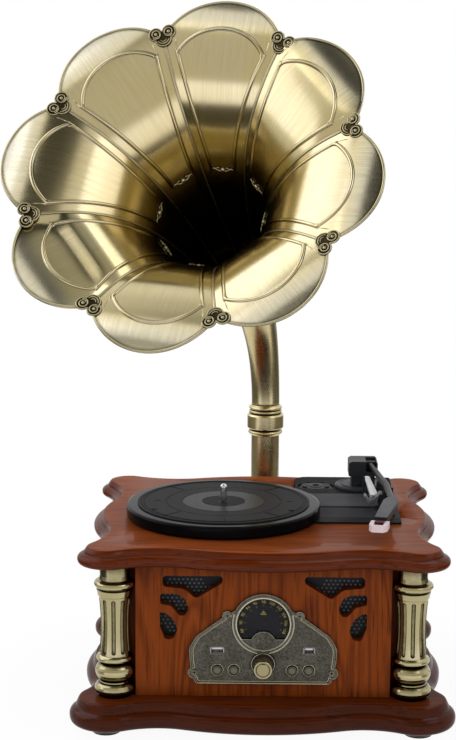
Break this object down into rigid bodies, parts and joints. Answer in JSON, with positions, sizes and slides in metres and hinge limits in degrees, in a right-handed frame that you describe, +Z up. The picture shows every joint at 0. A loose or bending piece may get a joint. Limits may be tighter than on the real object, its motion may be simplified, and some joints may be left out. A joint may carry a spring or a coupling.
{
  "type": "horn gramophone",
  "caption": "Table-top gramophone with a serpentine wooden cabinet, turned brass columns, a belt-driven platter with a tone arm and a petalled brass horn on a rear pipe.",
  "frame": {"origin": "on the table, under the centre of the cabinet's base", "axes": "+X to the right of a person who faces the controls, +Y from the front to the back, +Z up"},
  "size_m": [0.4591, 0.4261, 0.7211],
  "materials": {
    "cabinet_wood": "satin lacquer",
    "moulding_wood": "gloss lacquer",
    "antique_brass": "brushed and lacquered",
    "bronze_plate": "antiqued",
    "felt": "felt",
    "mat_felt": "felt",
    "grille_steel": "matt black",
    "speaker_black": "matt",
    "screw_steel": "satin",
    "dial_face": "satin",
    "clear_window": "clear",
    "black_plastic": "satin",
    "button_metal": "satin",
    "circuit_board": "satin",
    "socket_steel": "satin",
    "deck_plastic": "fine texture",
    "platter_plastic": "satin",
    "steel": "satin",
    "rubber_belt": "matt",
    "pulley_brass": "turned",
    "adapter_aluminium": "satin",
    "arm_grey": "satin",
    "cartridge_red": "gloss",
    "guard_white": "satin",
    "rest_plastic": "satin",
    "clip_plastic": "satin",
    "lever_white": "satin",
    "switch_plastic": "satin"
  },
  "bodies": {
    "cabinet": {"base_plinth": "moulding_wood", "feet": "antique_brass", "foot_pads": "felt", "front_panel": "cabinet_wood", "back_panel": "cabinet_wood", "side_panel_left": "cabinet_wood", "side_panel_right": "cabinet_wood", "top_plate": "moulding_wood", "column_front_left": "antique_brass", "column_front_right": "antique_brass", "column_rear_left": "antique_brass", "column_rear_right": "antique_brass", "speaker_grilles": "grille_steel", "speakers": "speaker_black", "escutcheon": "bronze_plate", "escutcheon_screws": "screw_steel", "dial_plate": "dial_face", "dial_window": "clear_window", "knob_collar": "black_plastic", "control_board": "circuit_board", "usb_socket": "socket_steel", "card_socket": "socket_steel", "deck_plate": "deck_plastic", "spindle": "steel", "drive_belt": "rubber_belt", "motor": "steel", "tonearm_base": "black_plastic", "arm_rest": "rest_plastic", "stand_pipe": "antique_brass", "pipe_collar": "antique_brass", "amplifier_board": "circuit_board", "rear_sockets": "black_plastic"},
    "platter": {"platter": "platter_plastic", "slip_mat": "mat_felt"},
    "pulley": {"motor_pulley": "pulley_brass"},
    "adapter": {"adapter_45": "adapter_aluminium"},
    "arm_housing": {"tonearm_housing": "black_plastic"},
    "arm": {"tonearm": "arm_grey", "cartridge": "cartridge_red"},
    "guard": {"stylus_guard": "guard_white"},
    "clip": {"arm_clip": "clip_plastic"},
    "lever": {"cue_lever": "lever_white"},
    "knob": {"volume_knob": "antique_brass"},
    "source_button": {"button_source": "button_metal"},
    "previous_button": {"button_previous": "button_metal"},
    "next_button": {"button_next": "button_metal"},
    "pause_button": {"button_pause": "button_metal"},
    "switch": {"speed_switch": "switch_plastic"},
    "horn": {"neck_spigot": "antique_brass", "gooseneck": "antique_brass", "horn_ferrule": "antique_brass", "horn_petal_1": "antique_brass", "horn_petal_2": "antique_brass", "horn_petal_3": "antique_brass", "horn_petal_4": "antique_brass", "horn_petal_5": "antique_brass", "horn_petal_6": "antique_brass", "horn_petal_7": "antique_brass", "horn_petal_8": "antique_brass", "horn_ornaments": "antique_brass"}
  },
  "joints": [
    {"name": "platter_spin", "type": "hinge", "parent": "cabinet", "child": "platter", "pos_m": [-0.043, -0.015, 0.2], "axis": [0, 0, -1], "continuous": true},
    {"name": "pulley_spin", "type": "hinge", "parent": "cabinet", "child": "pulley", "pos_m": [0.037, -0.015, 0.198], "axis": [0, 0, -1], "continuous": true},
    {"name": "adapter_lift", "type": "slide", "parent": "cabinet", "child": "adapter", "axis": [0, 0, 1], "range_m": [0, 0.03]},
    {"name": "arm_swing", "type": "hinge", "parent": "cabinet", "child": "arm_housing", "pos_m": [0.107, 0.108, 0.2], "axis": [0, 0, -1], "range_deg": [0, 41]},
    {"name": "arm_tilt", "type": "hinge", "parent": "arm_housing", "child": "arm", "pos_m": [0.107, 0.108, 0.218], "axis": [-1, 0, 0], "range_deg": [0, 15]},
    {"name": "guard_slide", "type": "slide", "parent": "arm", "child": "guard", "axis": [-0.2079, -0.9781, 0], "range_m": [0, 0.014]},
    {"name": "clip_turn", "type": "hinge", "parent": "cabinet", "child": "clip", "pos_m": [0.1234, 0.122, 0.2076], "axis": [0, 1, 0], "range_deg": [0, 130]},
    {"name": "lever_lift", "type": "hinge", "parent": "cabinet", "child": "lever", "pos_m": [0.1125, 0.076, 0.21], "axis": [-0.9925, -0.1219, 0], "range_deg": [0, 11]},
    {"name": "volume_turn", "type": "hinge", "parent": "cabinet", "child": "knob", "pos_m": [0, -0.14, 0.071], "axis": [0, -1, 0], "range_deg": [-150, 150]},
    {"name": "source_press", "type": "slide", "parent": "cabinet", "child": "source_button", "axis": [0, 1, 0], "range_m": [0, 0.002], "stiffness_N_per_m": 300, "springref_m": -0.001},
    {"name": "previous_press", "type": "slide", "parent": "cabinet", "child": "previous_button", "axis": [0, 1, 0], "range_m": [0, 0.002], "stiffness_N_per_m": 300, "springref_m": -0.001},
    {"name": "next_press", "type": "slide", "parent": "cabinet", "child": "next_button", "axis": [0, 1, 0], "range_m": [0, 0.002], "stiffness_N_per_m": 300, "springref_m": -0.001},
    {"name": "pause_press", "type": "slide", "parent": "cabinet", "child": "pause_button", "axis": [0, 1, 0], "range_m": [0, 0.002], "stiffness_N_per_m": 300, "springref_m": -0.001},
    {"name": "speed_slide", "type": "slide", "parent": "cabinet", "child": "switch", "axis": [0, 1, 0], "range_m": [-0.004, 0.004]},
    {"name": "horn_swivel", "type": "hinge", "parent": "cabinet", "child": "horn", "pos_m": [0, 0.19, 0.25], "axis": [0, 0, 1], "range_deg": [-75, 105]}
  ],
  "couplings": [
    {"joint": "pulley_spin", "follows": "platter_spin", "ratio": 15}
  ]
}
